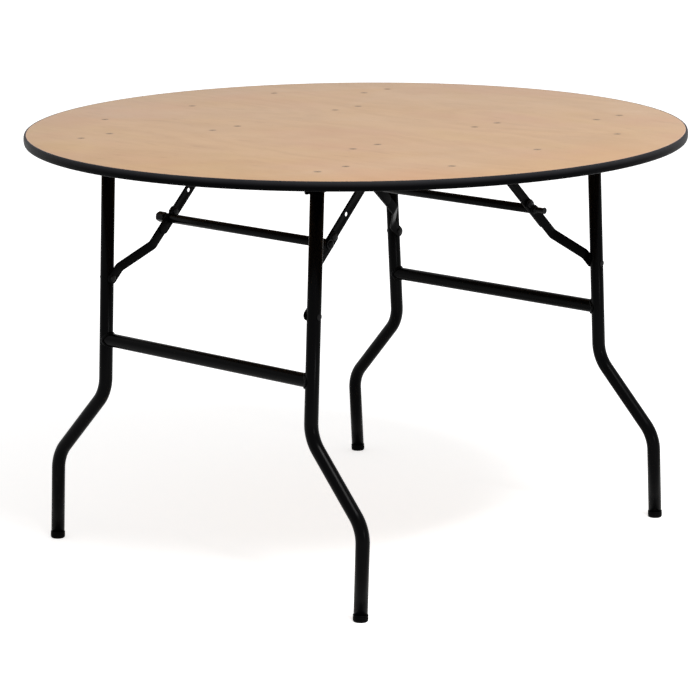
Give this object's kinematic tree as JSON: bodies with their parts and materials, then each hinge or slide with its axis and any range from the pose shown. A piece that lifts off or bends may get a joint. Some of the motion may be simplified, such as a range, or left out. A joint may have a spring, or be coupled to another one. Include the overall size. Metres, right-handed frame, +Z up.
{
  "type": "round folding banquet table",
  "caption": "Round plywood banquet table on folding steel tube leg frames, with folding braces and a release bar for each frame.",
  "frame": {"origin": "on the floor, under the middle of the round top", "axes": "+Z up; X runs along each pair of legs, +X to the right; Y runs from the front leg frame (-Y) to the back one (+Y)"},
  "size_m": [1.2192, 1.2192, 0.768],
  "materials": {
    "plywood": "clear satin lacquer on rotary-cut birch plywood",
    "moulding": "satin black extruded vinyl",
    "black_gloss_paint": "gloss black powder coat",
    "black_steel_plate": "semi-gloss black powder coat",
    "rail_steel": "semi-gloss black paint",
    "dark_fasteners": "black oxide steel",
    "flush_bolt_steel": "plain zinc plated, worn by cleaning",
    "glide_plastic": "moulded black plastic"
  },
  "bodies": {
    "table_top": {"tabletop": "plywood", "edge_moulding": "moulding", "stiffening_rail_left": "rail_steel", "stiffening_rail_right": "rail_steel", "top_bolts": "flush_bolt_steel", "top_bolt_nuts": "dark_fasteners", "hinge_bolts": "dark_fasteners", "hinge_nuts": "dark_fasteners", "brace_top_rivets": "dark_fasteners", "hinge_bracket_front_left": "black_steel_plate", "brace_bracket_front_left": "black_steel_plate", "hinge_bracket_front_right": "black_steel_plate", "brace_bracket_front_right": "black_steel_plate", "hinge_bracket_back_left": "black_steel_plate", "brace_bracket_back_left": "black_steel_plate", "hinge_bracket_back_right": "black_steel_plate", "brace_bracket_back_right": "black_steel_plate"},
    "leg_frame_front": {"leg_front_left": "black_gloss_paint", "leg_front_right": "black_gloss_paint", "cross_bar_front": "black_gloss_paint", "foot_glide_front_left": "glide_plastic", "foot_glide_front_right": "glide_plastic", "brace_foot_pins_front": "dark_fasteners"},
    "upper_brace_front": {"upper_link_front_left": "black_steel_plate", "upper_link_front_right": "black_steel_plate", "release_bar_front": "black_gloss_paint", "release_bar_nuts_front": "dark_fasteners", "release_bar_washers_front": "dark_fasteners", "knee_rivets_front": "dark_fasteners"},
    "lower_brace_front": {"lower_link_front_left": "black_steel_plate", "lower_link_front_right": "black_steel_plate", "brace_foot_rivets_front": "dark_fasteners"},
    "leg_frame_back": {"leg_back_left": "black_gloss_paint", "leg_back_right": "black_gloss_paint", "cross_bar_back": "black_gloss_paint", "foot_glide_back_left": "glide_plastic", "foot_glide_back_right": "glide_plastic", "brace_foot_pins_back": "dark_fasteners"},
    "upper_brace_back": {"upper_link_back_left": "black_steel_plate", "upper_link_back_right": "black_steel_plate", "release_bar_back": "black_gloss_paint", "release_bar_nuts_back": "dark_fasteners", "release_bar_washers_back": "dark_fasteners", "knee_rivets_back": "dark_fasteners"},
    "lower_brace_back": {"lower_link_back_left": "black_steel_plate", "lower_link_back_right": "black_steel_plate", "brace_foot_rivets_back": "dark_fasteners"}
  },
  "joints": [
    {"name": "front_leg_fold", "type": "hinge", "parent": "table_top", "child": "leg_frame_front", "pos_m": [0, -0.3815, 0.733], "axis": [1, 0, 0], "range_deg": [0, 93.12]},
    {"name": "front_upper_brace_fold", "type": "hinge", "parent": "table_top", "child": "upper_brace_front", "pos_m": [0, -0.166, 0.735], "axis": [1, 0, 0], "range_deg": [-41.42, 0]},
    {"name": "front_lower_brace_fold", "type": "hinge", "parent": "upper_brace_front", "child": "lower_brace_front", "pos_m": [0, -0.27773, 0.62551], "axis": [1, 0, 0], "range_deg": [0, 179.19]},
    {"name": "back_leg_fold", "type": "hinge", "parent": "table_top", "child": "leg_frame_back", "pos_m": [0, 0.3815, 0.733], "axis": [-1, 0, 0], "range_deg": [0, 88.12]},
    {"name": "back_upper_brace_fold", "type": "hinge", "parent": "table_top", "child": "upper_brace_back", "pos_m": [0, 0.13, 0.735], "axis": [-1, 0, 0], "range_deg": [-40.33, 0]},
    {"name": "back_lower_brace_fold", "type": "hinge", "parent": "upper_brace_back", "child": "lower_brace_back", "pos_m": [0, 0.26389, 0.6087], "axis": [-1, 0, 0], "range_deg": [0, 172.54]}
  ],
  "couplings": [
    {"joint": "front_upper_brace_fold", "follows": "front_leg_fold", "ratio": -0.4448},
    {"joint": "front_lower_brace_fold", "follows": "front_leg_fold", "ratio": 1.9243},
    {"joint": "back_upper_brace_fold", "follows": "back_leg_fold", "ratio": -0.45765},
    {"joint": "back_lower_brace_fold", "follows": "back_leg_fold", "ratio": 1.958}
  ]
}
